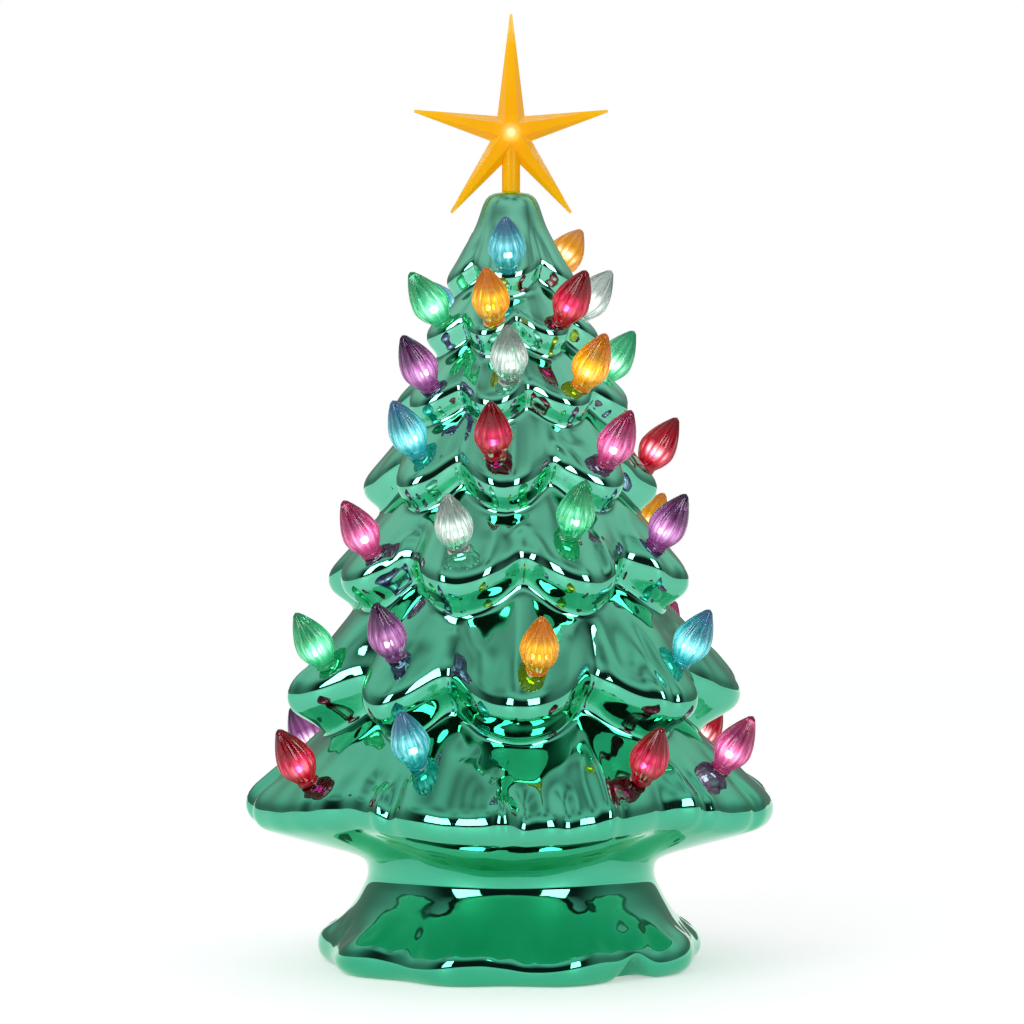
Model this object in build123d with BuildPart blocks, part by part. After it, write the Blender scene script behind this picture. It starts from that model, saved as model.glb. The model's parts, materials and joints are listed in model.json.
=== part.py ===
"""Ceramic christmas tree: a hollow lobed casting with push-in bulbs, a star and a cell-powered light.

Millimetres, +Z up, origin on the table under the tree's axis, front towards -Y.
An azimuth is measured from the front, positive towards +X.
"""

import os
from bisect import bisect_right
from math import atan2, cos, degrees, hypot, pi, radians, sin

from build123d import *

os.makedirs("parts", exist_ok=True)

# Casting: height of its flat crown, of which the levels of its tiers and foot are shares
TREE_HEIGHT = 309.0

# Crown: the plain top of the casting, from its flat top down to the first tier
CROWN_RADIUS = 9.0
CROWN_EDGE = 1.6
CROWN_NECK_RADIUS = 14.2
CROWN_NECK_LEVEL = 0.9547

# Tiers from the top: furthest reach of a lobe, and the nose and crease under it
LOBE_RADIUS = (26.5, 36.0, 48.0, 59.5, 75.5, 92.5, 106.0)
LOBE_LEVEL = (0.8835, 0.8091, 0.7184, 0.6149, 0.4951, 0.3463, 0.2039)
NOSE_RADIUS = (5.0, 5.5, 6.0, 7.0, 7.5, 8.0, 8.5)
CREASE_RADIUS = (21.5, 30.0, 41.0, 51.5, 64.0, 75.0, 59.0)
CREASE_LEVEL = (0.8608, 0.7832, 0.6958, 0.5858, 0.4595, 0.301, 0.1408)
# How far the crease climbs at the notch between two lobes, and how far it draws in as it climbs
NOTCH_LIFT = (7.0, 7.0, 8.0, 12.0, 12.0, 13.0, 5.0)
NOTCH_FLARE = (0.6, 0.75, 0.8, 0.8, 0.8, 0.9, 0.0)
# How far the nose still stands out from the crease at a notch
NOTCH_LIP = (3.0, 3.5, 4.0, 4.5, 5.0, 5.5, 39.0)
# Azimuths of the notches of each tier
NOTCHES = (
    (-45, 35, 110, 180, 245),
    (-40, 5, 55, 105, 155, 205, 265),
    (-75, -30, 10, 55, 100, 145, 190, 240),
    (-65, -25, 20, 65, 110, 155, 200, 245),
    (-80, -40, 5, 45, 90, 130, 170, 210, 245),
    (-95, -50, -20, 25, 70, 115, 155, 195, 230),
    (-40, 40, 105, 180, 255),
)
# The nose of a lobe is an arc between these two slopes of its outward normal
NOSE_TOP_ANGLE = 45
NOSE_LOW_ANGLE = -65
NOSE_STEPS = 4
RING_STEP = 5
# The casting's rings are drawn in sectors, and the hollow's seams lie half a sector from those outside
SECTOR = 30

# Foot: neck, bell and ruffled hem under the lowest tier
NECK_RADIUS = 57.0
NECK_LEVEL = 0.1149
BELL_RADIUS = 63.0
BELL_LEVEL = 0.0777
FLARE_RADIUS = 69.0
FLARE_LEVEL = 0.0534
FLARE_RUFFLE = 0.4
HEM_RADIUS = 76.5
HEM_HEIGHT = 7.0
ROLL_RADIUS = 75.5
ROLL_HEIGHT = 2.0
FOOT_RADIUS = 72.0
RUFFLE_DEPTH = 1.8
RUFFLES = 9
RUFFLE_AZIMUTH = 21
ARCH_AZIMUTHS = (41, -150)
ARCH_WIDTH = 18.0
ARCH_RISE = 5.5

# Hollow of the casting
WALL = 5.0
NOSE_WALL = 7.5
FLOOR_THICKNESS = 5.0
FLOOR_HEIGHT = 9.0
RECESS_CLEARANCE = 8.0

# Bulbs: flame shaped, with a collar and a peg
BULB_RADIUS = 7.5
BULB_LENGTH = 25.5
BULB_WAIST = 9.5
BULB_TIP_RADIUS = 2.2
BOWL_SWELL = 0.65
FLAME_SWELL = 0.74
COLLAR_RADIUS = 4.0
COLLAR_HEIGHT = 2.2
PEG_RADIUS = 2.5
PEG_LENGTH = 10.0
PEG_CLEARANCE = 0.3
SEAT_CLEARANCE = 0.5
SEAT_DEPTH = 0.8
SEAT_GAP = 0.3
SEAT_REACH = 8.0
# How much steeper than square to its tier's slope a bulb stands
BULB_LEAN = (17.6, 5.2, 9.1, 17.6, 13.2, 15.3, 7.1)

# Bulbs by tier: azimuth, place on the slope from the crease above (0) to the nose (1), colour
BULBS = (
    ((-3, 0.95, "blue"), (134, 0.95, "orange"), (-158, 0.95, "green")),
    ((-57, 0.95, "green"), (-12, 0.85, "orange"), (38, 0.95, "red"), (110, 0.95, "clear"),
     (165, 0.9, "purple"), (-135, 0.9, "blue")),
    ((-48, 0.85, "purple"), (-1, 0.75, "clear"), (41, 0.85, "orange"), (105, 0.85, "green"),
     (155, 0.85, "red"), (-154, 0.85, "blue")),
    ((-46, 0.6, "blue"), (-7, 0.65, "red"), (44, 0.8, "magenta"), (96, 0.95, "red"),
     (143, 0.75, "green"), (-169, 0.75, "orange"), (-137, 0.75, "clear")),
    ((-54, 0.8, "magenta"), (-18, 0.7, "clear"), (22, 0.6, "green"), (61, 0.75, "purple"),
     (123, 0.8, "orange"), (178, 0.75, "blue"), (-140, 0.75, "red")),
    ((-63, 0.8, "green"), (-34, 0.65, "purple"), (7, 0.8, "orange"), (55, 0.75, "blue"),
     (175, 0.75, "green"), (133, 0.75, "magenta"), (-148, 0.75, "red")),
    ((-56, 0.8, "red"), (-119, 0.7, "purple"), (-25, 0.5, "blue"), (33, 0.75, "red"),
     (65, 0.65, "magenta"), (122, 0.65, "red"), (175, 0.7, "green")),
)

# Star: its middle above the crown, reach of the upright ray and of the other four, facets and stem
STAR_RISE = 24.0
STAR_TOP_RAY = 48.0
STAR_RAY = 40.0
STAR_NOTCH = 8.6
STAR_RAY_AZIMUTHS = (0, 77, 143, 217, 283)
STAR_THICKNESS = 9.0
STAR_EDGE = 2.0
STAR_FACET = 0.55
STAR_STEM_RADIUS = 3.65
STAR_PEG_RADIUS = 2.9
STAR_PEG_LENGTH = 14.0
STAR_PEG_CLEARANCE = 0.3

# Light housing: bottom plate, tube and posts
GASKET_THICKNESS = 1.0
PLATE_THICKNESS = 2.0
PLATE_OVERLAP = 11.0
TUBE_WALL = 2.0
TUBE_CLEARANCE = 1.0
TUBE_HEIGHT = 20.0
POST_RADIUS = 3.0
POST_SPREAD = 14.0
POST_GAP = 4.3
PILOT_RADIUS = 1.2

# Cells and their contacts
CELL_RADIUS = 7.2
CELL_LENGTH = 50.5
CELL_BUTTON_RADIUS = 2.75
CELL_BUTTON_LENGTH = 1.3
CELL_SPACING = 0.8
CELL_CLEARANCE = 0.3
CELL_SIGNS = (1, -1, 1)
CONTACT_THICKNESS = 0.5
CONTACT_WIDTH = 10.0
SPRING_LENGTH = 7.0
SPRING_RADIUS = 4.0
SPRING_TIP_RADIUS = 2.5
BAY_WALL = 1.5
# How far the corners of the bay walls run into the tube's wall
BAY_BITE = 0.3

# Door over the cells, hinged along +Y
DOOR_THICKNESS = 1.8
DOOR_OVERLAP = 1.8
HINGE_PIN_RADIUS = 0.8
HINGE_PIN_CLEARANCE = 0.2
HINGE_BARREL_RADIUS = 1.2
HINGE_CLEARANCE = 0.3
LUG_WIDTH = 3.0
LUG_WALL = 1.2
TONGUE_WIDTH = 12.0
TONGUE_THICKNESS = 1.4
TONGUE_HEIGHT = 2.5
TAB_WIDTH = 14.0
TAB_REACH = 3.0

# Slide switch
SWITCH_GAP = 4.8
SWITCH_CASE = (15.0, 7.0, 5.5)
SLIDER_LENGTH = 4.4
SLIDER_WIDTH = 2.8
SLIDER_TRAVEL = 4.0
SLIDER_CLEARANCE = 0.3
SLIDER_PROUD = 1.4
SLIDER_INSIDE = 2.0

# Board, lamps and screws
BOARD_THICKNESS = 1.6
BOARD_CLEARANCE = 0.5
POST_HEIGHT = 18.0
SCREW_RADIUS = 1.1
SCREW_LENGTH = 8.0
SCREW_HOLE_RADIUS = 1.5
SCREW_HEAD_RADIUS = 2.4
SCREW_HEAD_HEIGHT = 1.6
SCREW_SLOT = 0.6
LAMP_RADIUS = 2.5
LAMP_LENGTH = 5.0
LAMP_RIM = 0.4
LAMP_RIM_HEIGHT = 1.0
LAMP_CIRCLE = 20.0
LAMPS = 6

# Levels and places that follow from the sizes above
plate_top = FLOOR_HEIGHT - GASKET_THICKNESS
plate_low = plate_top - PLATE_THICKNESS
board_low = plate_top + POST_HEIGHT
board_top = board_low + BOARD_THICKNESS
bay_length = CELL_LENGTH + SPRING_LENGTH + CELL_CLEARANCE + 2 * CONTACT_THICKNESS
cell_pitch = 2 * CELL_RADIUS + CELL_SPACING
bay_width = 2 * cell_pitch + 2 * CELL_RADIUS + 2 * CELL_CLEARANCE
cell_height = plate_low + CELL_CLEARANCE + CELL_RADIUS
tube_bore = hypot(bay_length / 2 + BAY_WALL, bay_width / 2) - BAY_BITE
tube_radius = tube_bore + TUBE_WALL
opening_radius = tube_radius + TUBE_CLEARANCE
plate_radius = opening_radius + PLATE_OVERLAP
recess_radius = plate_radius + RECESS_CLEARANCE
post_place = bay_width / 2 + POST_GAP + POST_RADIUS
switch_place = -bay_width / 2 - SWITCH_GAP - SWITCH_CASE[1] / 2
crown_neck_height = CROWN_NECK_LEVEL * TREE_HEIGHT
lobe_height = [level * TREE_HEIGHT for level in LOBE_LEVEL]
crease_height = [level * TREE_HEIGHT for level in CREASE_LEVEL]
neck_height = NECK_LEVEL * TREE_HEIGHT
bell_height = BELL_LEVEL * TREE_HEIGHT
flare_height = FLARE_LEVEL * TREE_HEIGHT
star_height = TREE_HEIGHT + STAR_RISE
tiers = range(len(LOBE_RADIUS))
hollow_turn = SECTOR // 2


def lobe(tier, azimuth):
    """0 at the notches of a tier and 1 half way between two of them, along a half sine."""
    notches = sorted(notch % 360 for notch in NOTCHES[tier])
    notches = [notches[-1] - 360, *notches, notches[0] + 360]
    place = azimuth % 360
    after = bisect_right(notches, place)
    start, end = notches[after - 1], notches[after]
    return sin(pi * (place - start) / (end - start))


def crease(tier, azimuth):
    """Radius and height of the fold under a tier."""
    climb = NOTCH_LIFT[tier] * (1 - lobe(tier, azimuth))
    return CREASE_RADIUS[tier] - NOTCH_FLARE[tier] * climb, crease_height[tier] + climb


def slope_start(tier, azimuth):
    """Radius and height where the slope of a tier leaves the tier or crown above it."""
    return crease(tier - 1, azimuth) if tier else (CROWN_NECK_RADIUS, crown_neck_height)


def nose(tier, azimuth, angle):
    """Radius and height on the rounded nose of a tier, where its normal has this slope."""
    fold_radius, fold_height = crease(tier, azimuth)
    reach = LOBE_RADIUS[tier] - CREASE_RADIUS[tier]
    lip = NOTCH_LIP[tier] + (reach - NOTCH_LIP[tier]) * lobe(tier, azimuth)
    radius = fold_radius + lip - NOSE_RADIUS[tier] * (1 - cos(radians(angle)))
    height = fold_height + lobe_height[tier] - crease_height[tier] + NOSE_RADIUS[tier] * sin(radians(angle))
    return radius, height


def bulb_elevation(tier):
    """Slope of a tier's bulbs: square to the slope of a full lobe, and then their lean."""
    start_radius, start_height = CROWN_NECK_RADIUS, crown_neck_height
    if tier:
        start_radius, start_height = CREASE_RADIUS[tier - 1], crease_height[tier - 1]
    end_radius = LOBE_RADIUS[tier] - NOSE_RADIUS[tier] * (1 - cos(radians(NOSE_TOP_ANGLE)))
    end_height = lobe_height[tier] + NOSE_RADIUS[tier] * sin(radians(NOSE_TOP_ANGLE))
    return BULB_LEAN[tier] + degrees(atan2(end_radius - start_radius, start_height - end_height))


def point(radius, azimuth, height):
    """A point from its cylindrical place."""
    return Vector(radius * sin(radians(azimuth)), -radius * cos(radians(azimuth)), height)


def ring(place, turn=0):
    """A closed smooth wire through place(azimuth), a radius and a height, in sectors from a turn."""

    def place_point(azimuth):
        radius, height = place(azimuth)
        return point(radius, azimuth, height)

    sectors = []
    for start in range(turn, turn + 360, SECTOR):
        points = [place_point(azimuth) for azimuth in range(start, start + SECTOR + 1, RING_STEP)]
        sectors.append(Edge.make_spline(points, parameters=list(range(len(points)))))
    return Wire(sectors)


def circle_ring(radius, height, turn=0):
    """A level round ring."""
    return ring(lambda azimuth: (radius, height), turn)


def ruffle_ring(radius, height, share):
    """A level ring of the hem, waved by a share of the ruffle depth."""

    def place(azimuth):
        wave = cos(radians(RUFFLES * (azimuth - RUFFLE_AZIMUTH)))
        return radius + share * RUFFLE_DEPTH * wave, height

    return ring(place)


def bulb_seat(tier, azimuth, share):
    """Plane of a bulb's seat: sunk in the slope of its tier, with its normal along the bulb."""
    start_radius, start_height = slope_start(tier, azimuth)
    end_radius, end_height = nose(tier, azimuth, NOSE_TOP_ANGLE)
    radius = start_radius + share * (end_radius - start_radius)
    height = start_height + share * (end_height - start_height)
    elevation = radians(bulb_elevation(tier))
    axis = point(cos(elevation), azimuth, sin(elevation))
    along = point(0, azimuth, 1).cross(axis)
    return Plane(point(radius, azimuth, height) - axis * SEAT_DEPTH, x_dir=along, z_dir=axis)


# Casting: rings from the flat crown down over every nose and crease to the foot
outside_rings = [
    circle_ring(CROWN_RADIUS, TREE_HEIGHT),
    circle_ring(CROWN_RADIUS + CROWN_EDGE, TREE_HEIGHT - CROWN_EDGE),
    circle_ring(CROWN_NECK_RADIUS, crown_neck_height),
]
for tier in tiers:
    for step in range(NOSE_STEPS + 1):
        angle = NOSE_TOP_ANGLE + (NOSE_LOW_ANGLE - NOSE_TOP_ANGLE) * step / NOSE_STEPS
        outside_rings.append(ring(lambda azimuth: nose(tier, azimuth, angle)))
    outside_rings.append(ring(lambda azimuth: crease(tier, azimuth)))
outside_rings += [
    circle_ring(NECK_RADIUS, neck_height),
    circle_ring(BELL_RADIUS, bell_height),
    ruffle_ring(FLARE_RADIUS, flare_height, FLARE_RUFFLE),
    ruffle_ring(HEM_RADIUS, HEM_HEIGHT, 1),
    ruffle_ring(ROLL_RADIUS, ROLL_HEIGHT, 1),
    ruffle_ring(FOOT_RADIUS, 0, 1),
]

# Its hollow follows the outside, a wall further in
cavity_rings = [circle_ring(CROWN_NECK_RADIUS - WALL, crown_neck_height - WALL, hollow_turn)]
for tier in tiers:
    cavity_rings.append(
        ring(lambda azimuth: (nose(tier, azimuth, 0)[0] - NOSE_WALL, nose(tier, azimuth, 0)[1]), hollow_turn)
    )
    cavity_rings.append(
        ring(lambda azimuth: (crease(tier, azimuth)[0] - WALL, crease(tier, azimuth)[1]), hollow_turn)
    )
cavity_rings += [
    circle_ring(NECK_RADIUS - WALL, neck_height, hollow_turn),
    circle_ring(BELL_RADIUS - WALL, FLOOR_HEIGHT + FLOOR_THICKNESS, hollow_turn),
]

seats = {}
for tier, row in enumerate(BULBS):
    for number, (azimuth, share, colour) in enumerate(row):
        seats[f"bulb_{tier + 1}{'abcdefgh'[number]}_{colour}"] = bulb_seat(tier, azimuth, share)

with BuildPart() as ceramic_tree:
    add(Solid.make_loft(outside_rings, ruled=True))
    add(Solid.make_loft(cavity_rings, ruled=True), mode=Mode.SUBTRACT)
    with BuildSketch():
        Circle(recess_radius)
    extrude(amount=FLOOR_HEIGHT, mode=Mode.SUBTRACT)
    with BuildSketch(Plane.XY.offset(FLOOR_HEIGHT)):
        Circle(opening_radius)
    extrude(amount=FLOOR_THICKNESS, mode=Mode.SUBTRACT)
    with Locations((0, 0, TREE_HEIGHT)):
        Hole(STAR_PEG_RADIUS + STAR_PEG_CLEARANCE, depth=TREE_HEIGHT - crown_neck_height + 2 * WALL)
    for azimuth in ARCH_AZIMUTHS:
        with BuildSketch(Plane((0, 0, 0), x_dir=point(1, azimuth + 90, 0), z_dir=point(1, azimuth, 0))):
            Ellipse(ARCH_WIDTH / 2, ARCH_RISE)
        extrude(amount=HEM_RADIUS + 2 * RUFFLE_DEPTH, mode=Mode.SUBTRACT)
    with Locations(*[seat.offset(SEAT_REACH) for seat in seats.values()]):
        CounterBoreHole(
            radius=PEG_RADIUS + PEG_CLEARANCE,
            counter_bore_radius=COLLAR_RADIUS + SEAT_CLEARANCE,
            counter_bore_depth=SEAT_REACH,
            depth=SEAT_REACH + PEG_LENGTH + 2 * WALL,
        )
ceramic_tree.part.label = "ceramic_tree"
export_step(ceramic_tree.part, "parts/ceramic_tree.step")

# One bulb about its own seat, turned from a single outline; every bulb is a copy on its own seat
bowl_radius = COLLAR_RADIUS + BOWL_SWELL * (BULB_RADIUS - COLLAR_RADIUS)

with BuildPart() as bulb:
    with BuildSketch(Plane.XZ):
        with BuildLine():
            Polyline(
                (0, -PEG_LENGTH),
                (PEG_RADIUS, -PEG_LENGTH),
                (PEG_RADIUS, SEAT_GAP),
                (COLLAR_RADIUS, SEAT_GAP),
                (COLLAR_RADIUS, COLLAR_HEIGHT),
            )
            Spline(
                (COLLAR_RADIUS, COLLAR_HEIGHT),
                (bowl_radius, (COLLAR_HEIGHT + BULB_WAIST) / 2),
                (BULB_RADIUS, BULB_WAIST),
                (FLAME_SWELL * BULB_RADIUS, (BULB_WAIST + BULB_LENGTH) / 2),
                (BULB_TIP_RADIUS, BULB_LENGTH - BULB_TIP_RADIUS),
                (0, BULB_LENGTH),
                tangents=[(1, 1), (-1, 0)],
            )
            Line((0, BULB_LENGTH), (0, -PEG_LENGTH))
        make_face()
    revolve(axis=Axis.Z)

for name, seat in seats.items():
    placed = seat.location * bulb.part
    placed.label = name
    export_step(placed, f"parts/{name}.step")

# Star: two faceted faces on one outline of five rays, a round stem, and a peg in the crown
ray_reach = [STAR_TOP_RAY] + [STAR_RAY] * (len(STAR_RAY_AZIMUTHS) - 1)
star_outline = []
for number, azimuth in enumerate(STAR_RAY_AZIMUTHS):
    following = STAR_RAY_AZIMUTHS[(number + 1) % len(STAR_RAY_AZIMUTHS)] or 360
    between = (azimuth + following) / 2
    for reach, turn in ((ray_reach[number], radians(azimuth)), (STAR_NOTCH, radians(between))):
        star_outline.append((reach * sin(turn), reach * cos(turn)))
facet_outline = [(STAR_FACET * across, STAR_FACET * up) for across, up in star_outline]
star_plane = Plane(origin=(0, 0, star_height), x_dir=(1, 0, 0), z_dir=(0, -1, 0))

with BuildPart() as star_topper:
    with BuildSketch(star_plane):
        Polygon(*star_outline, align=None)
    extrude(amount=STAR_EDGE / 2, both=True)
    for side in (-1, 1):
        with BuildSketch(star_plane.offset(side * STAR_EDGE / 2)):
            Polygon(*star_outline, align=None)
        with BuildSketch(star_plane.offset(side * STAR_THICKNESS / 2)):
            Polygon(*facet_outline, align=None)
        loft(ruled=True)
    with BuildSketch(Plane.XY.offset(TREE_HEIGHT)):
        Circle(STAR_STEM_RADIUS)
    extrude(amount=star_height - TREE_HEIGHT)
    with BuildSketch(Plane.XY.offset(TREE_HEIGHT)):
        Circle(STAR_PEG_RADIUS)
    extrude(amount=-STAR_PEG_LENGTH)
star_topper.part.label = "star_topper"
export_step(star_topper.part, "parts/star_topper.step")

# Light housing: a bottom plate under the ceramic floor, a tube up through it, posts and bay walls
posts = [(across * POST_SPREAD, along * post_place) for across in (-1, 1) for along in (-1, 1)]
hinge_place = bay_width / 2 + DOOR_OVERLAP
hinge_height = plate_low - HINGE_CLEARANCE - HINGE_BARREL_RADIUS
door_half = bay_length / 2 + DOOR_OVERLAP
lug_centre = door_half + HINGE_CLEARANCE + LUG_WIDTH / 2
lug_radius = HINGE_PIN_RADIUS + HINGE_PIN_CLEARANCE + LUG_WALL
slot_length = SLIDER_LENGTH + SLIDER_TRAVEL + 2 * SLIDER_CLEARANCE
slot_width = SLIDER_WIDTH + 2 * SLIDER_CLEARANCE

with BuildPart() as light_housing:
    with BuildSketch(Plane.XY.offset(plate_low)):
        Circle(plate_radius)
    extrude(amount=PLATE_THICKNESS)
    with BuildSketch(Plane.XY.offset(plate_top)):
        Circle(tube_radius)
        Circle(tube_bore, mode=Mode.SUBTRACT)
    extrude(amount=TUBE_HEIGHT)
    with BuildSketch(Plane.XY.offset(plate_top)):
        with Locations(*posts):
            Circle(POST_RADIUS)
    extrude(amount=POST_HEIGHT)
    with BuildSketch(Plane.XY.offset(plate_top)):
        with Locations((-(bay_length + BAY_WALL) / 2, 0), ((bay_length + BAY_WALL) / 2, 0)):
            Rectangle(BAY_WALL, bay_width)
    extrude(amount=POST_HEIGHT)
    with BuildSketch(Plane.XY.offset(plate_low)):
        Rectangle(bay_length, bay_width)
        with Locations((0, switch_place)):
            Rectangle(slot_length, slot_width)
    extrude(amount=PLATE_THICKNESS, mode=Mode.SUBTRACT)
    for side in (-1, 1):
        with BuildSketch(Plane.YZ.offset(side * lug_centre)):
            with Locations((hinge_place, hinge_height)):
                Circle(lug_radius)
            with Locations((hinge_place, (hinge_height + plate_low) / 2)):
                Rectangle(2 * lug_radius, plate_low - hinge_height)
            with Locations((hinge_place, hinge_height)):
                Circle(HINGE_PIN_RADIUS + HINGE_PIN_CLEARANCE, mode=Mode.SUBTRACT)
        extrude(amount=LUG_WIDTH / 2, both=True)
    with Locations(*[(across, along, board_low) for across, along in posts]):
        Hole(PILOT_RADIUS, depth=SCREW_LENGTH)
light_housing.part.label = "light_housing"
export_step(light_housing.part, "parts/light_housing.step")

# Foam ring between the bottom plate and the ceramic floor
with BuildPart() as housing_gasket:
    with BuildSketch(Plane.XY.offset(plate_top)):
        Circle(plate_radius - GASKET_THICKNESS)
        Circle(opening_radius + GASKET_THICKNESS, mode=Mode.SUBTRACT)
    extrude(amount=GASKET_THICKNESS)
housing_gasket.part.label = "housing_gasket"
export_step(housing_gasket.part, "parts/housing_gasket.step")

# Door: a flat cover with a hinge barrel and pins, a locating tongue and a finger tab
tongue_place = -bay_width / 2 + CELL_CLEARANCE + TONGUE_THICKNESS / 2
door_low = plate_low - DOOR_THICKNESS
door_edge = -bay_width / 2 - DOOR_OVERLAP

with BuildPart() as battery_door:
    with BuildSketch(Plane.XY.offset(door_low)):
        with Locations((0, (hinge_place + door_edge) / 2)):
            Rectangle(2 * door_half, hinge_place - door_edge)
        with Locations((0, door_edge - TAB_REACH / 2)):
            Rectangle(TAB_WIDTH, TAB_REACH)
    extrude(amount=DOOR_THICKNESS)
    with BuildSketch(Plane.XY.offset(plate_low)):
        with Locations((0, tongue_place)):
            Rectangle(TONGUE_WIDTH, TONGUE_THICKNESS)
    extrude(amount=TONGUE_HEIGHT)
    with BuildSketch(Plane.YZ):
        with Locations((hinge_place, hinge_height)):
            Circle(HINGE_BARREL_RADIUS)
    extrude(amount=door_half, both=True)
    with BuildSketch(Plane.YZ):
        with Locations((hinge_place, hinge_height)):
            Circle(HINGE_PIN_RADIUS)
    extrude(amount=door_half + HINGE_CLEARANCE + LUG_WIDTH, both=True)
battery_door.part.label = "battery_door"
export_step(battery_door.part, "parts/battery_door.step")

# Cells lie side by side, turned about, each pressed by a spring at its flat end
contact_face = bay_length / 2 - CONTACT_THICKNESS
cell_rows = [(cell_pitch * (number - 1), sign) for number, sign in enumerate(CELL_SIGNS)]

with BuildPart() as battery_cells:
    for row, sign in cell_rows:
        flat_end = sign * (contact_face - CELL_LENGTH)
        can_length = CELL_LENGTH - CELL_BUTTON_LENGTH
        with BuildSketch(Plane(origin=(flat_end, row, cell_height), x_dir=(0, 1, 0), z_dir=(sign, 0, 0))):
            Circle(CELL_RADIUS)
        extrude(amount=can_length)
        button_start = (flat_end + sign * can_length, row, cell_height)
        with BuildSketch(Plane(origin=button_start, x_dir=(0, 1, 0), z_dir=(sign, 0, 0))):
            Circle(CELL_BUTTON_RADIUS)
        extrude(amount=CELL_BUTTON_LENGTH)
battery_cells.part.label = "battery_cells"
export_step(battery_cells.part, "parts/battery_cells.step")

with BuildPart() as contact_springs:
    for row, sign in cell_rows:
        flat_end = contact_face - CELL_LENGTH
        wall_place = (-sign * contact_face, row, cell_height)
        wall_end = Plane(origin=wall_place, x_dir=(0, 1, 0), z_dir=(sign, 0, 0))
        with BuildSketch(wall_end):
            Circle(SPRING_RADIUS)
        with BuildSketch(wall_end.offset(contact_face + flat_end)):
            Circle(SPRING_TIP_RADIUS)
        loft(ruled=True)
contact_springs.part.label = "contact_springs"
export_step(contact_springs.part, "parts/contact_springs.step")

with BuildPart() as battery_contacts:
    with BuildSketch(Plane.XY.offset(plate_top)):
        for row, sign in cell_rows:
            for side in (-1, 1):
                with Locations((side * (contact_face + CONTACT_THICKNESS / 2), row)):
                    Rectangle(CONTACT_THICKNESS, CONTACT_WIDTH)
    extrude(amount=POST_HEIGHT)
battery_contacts.part.label = "battery_contacts"
export_step(battery_contacts.part, "parts/battery_contacts.step")

# Slide switch: a case on the plate and a slider through its slot
with BuildPart() as switch_case:
    with BuildSketch(Plane.XY.offset(plate_top)):
        with Locations((0, switch_place)):
            Rectangle(SWITCH_CASE[0], SWITCH_CASE[1])
    extrude(amount=SWITCH_CASE[2])
    with BuildSketch(Plane.XY.offset(plate_top)):
        with Locations((0, switch_place)):
            Rectangle(slot_length, slot_width)
    extrude(amount=SLIDER_INSIDE + SLIDER_CLEARANCE, mode=Mode.SUBTRACT)
switch_case.part.label = "switch_case"
export_step(switch_case.part, "parts/switch_case.step")

with BuildPart() as switch_slider:
    with BuildSketch(Plane.XY.offset(plate_low - SLIDER_PROUD)):
        with Locations((-SLIDER_TRAVEL / 2, switch_place)):
            Rectangle(SLIDER_LENGTH, SLIDER_WIDTH)
    extrude(amount=SLIDER_PROUD + PLATE_THICKNESS + SLIDER_INSIDE)
switch_slider.part.label = "switch_slider"
export_step(switch_slider.part, "parts/switch_slider.step")

# Board on the posts, its screws, and its lamps
with BuildPart() as circuit_board:
    with BuildSketch(Plane.XY.offset(board_low)):
        Circle(tube_bore - BOARD_CLEARANCE)
        with Locations(*posts):
            Circle(SCREW_HOLE_RADIUS, mode=Mode.SUBTRACT)
    extrude(amount=BOARD_THICKNESS)
circuit_board.part.label = "circuit_board"
export_step(circuit_board.part, "parts/circuit_board.step")

with BuildPart() as board_screws:
    with BuildSketch(Plane.XY.offset(board_top)):
        with Locations(*posts):
            Circle(SCREW_RADIUS)
    extrude(amount=-(SCREW_LENGTH - PILOT_RADIUS))
    with BuildSketch(Plane.XY.offset(board_top)):
        with Locations(*posts):
            Circle(SCREW_HEAD_RADIUS)
    extrude(amount=SCREW_HEAD_HEIGHT)
    with BuildSketch(Plane.XY.offset(board_top + SCREW_HEAD_HEIGHT)):
        with Locations(*posts):
            Rectangle(3 * SCREW_HEAD_RADIUS, SCREW_SLOT)
    extrude(amount=-SCREW_SLOT, mode=Mode.SUBTRACT)
board_screws.part.label = "board_screws"
export_step(board_screws.part, "parts/board_screws.step")

with BuildPart() as led_lamps:
    with BuildSketch(Plane.XY.offset(board_top)):
        Circle(LAMP_RADIUS + LAMP_RIM)
        with PolarLocations(LAMP_CIRCLE, LAMPS):
            Circle(LAMP_RADIUS + LAMP_RIM)
    extrude(amount=LAMP_RIM_HEIGHT)
    with BuildSketch(Plane.XY.offset(board_top)):
        Circle(LAMP_RADIUS)
        with PolarLocations(LAMP_CIRCLE, LAMPS):
            Circle(LAMP_RADIUS)
    extrude(amount=LAMP_LENGTH)
    with Locations((0, 0, board_top + LAMP_LENGTH)):
        Sphere(LAMP_RADIUS)
        with PolarLocations(LAMP_CIRCLE, LAMPS):
            Sphere(LAMP_RADIUS)
led_lamps.part.label = "led_lamps"
export_step(led_lamps.part, "parts/led_lamps.step")
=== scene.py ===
import json

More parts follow.
